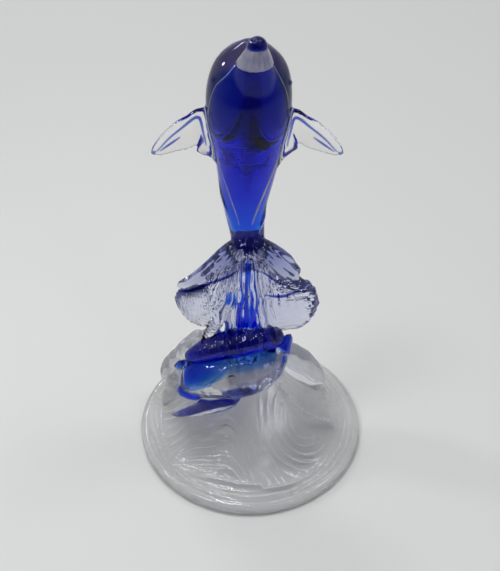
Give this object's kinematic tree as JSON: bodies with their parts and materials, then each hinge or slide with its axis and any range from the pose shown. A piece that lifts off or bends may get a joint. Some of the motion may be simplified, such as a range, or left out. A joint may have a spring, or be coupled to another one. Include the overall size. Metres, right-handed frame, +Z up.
{
  "type": "glass dolphin figurine",
  "caption": "Clear and cobalt-blue glass dolphin standing on its tail over a fluted water spout, with a diving calf in front, on a round wave-relief glass foot.",
  "frame": {"origin": "centre of the flat underside of the round foot", "axes": "+Z up the standing dolphin; the dolphin's belly and the calf face -Y; +X to the viewer's right"},
  "size_m": [0.082, 0.082, 0.1508],
  "materials": {
    "clear_glass": "fire-polished",
    "satin_glass": "pressed, lightly frosted",
    "blue_glass": "cobalt core",
    "navy_glass": "dense cobalt"
  },
  "bodies": {
    "root": {"base_disc": "clear_glass", "wave_mound": "satin_glass", "wave_curl": "satin_glass", "wave_swell_left": "satin_glass", "wave_swell_right": "satin_glass", "wave_crest_left": "satin_glass", "wave_crest_back": "satin_glass", "spout_column": "clear_glass", "spout_core": "blue_glass", "spout_gather": "navy_glass", "spray_left": "satin_glass", "spray_right": "satin_glass", "tail_flukes": "clear_glass", "body_casing": "clear_glass", "body_core": "blue_glass", "beak": "clear_glass", "beak_tip": "navy_glass", "flipper_left": "clear_glass", "flipper_right": "clear_glass", "dorsal_fin": "clear_glass", "eye_left": "navy_glass", "eye_right": "navy_glass", "calf_casing": "clear_glass", "calf_core": "blue_glass", "calf_beak": "blue_glass", "calf_flipper": "blue_glass", "calf_dorsal_fin": "blue_glass", "calf_flukes": "blue_glass"}
  },
  "joints": []
}
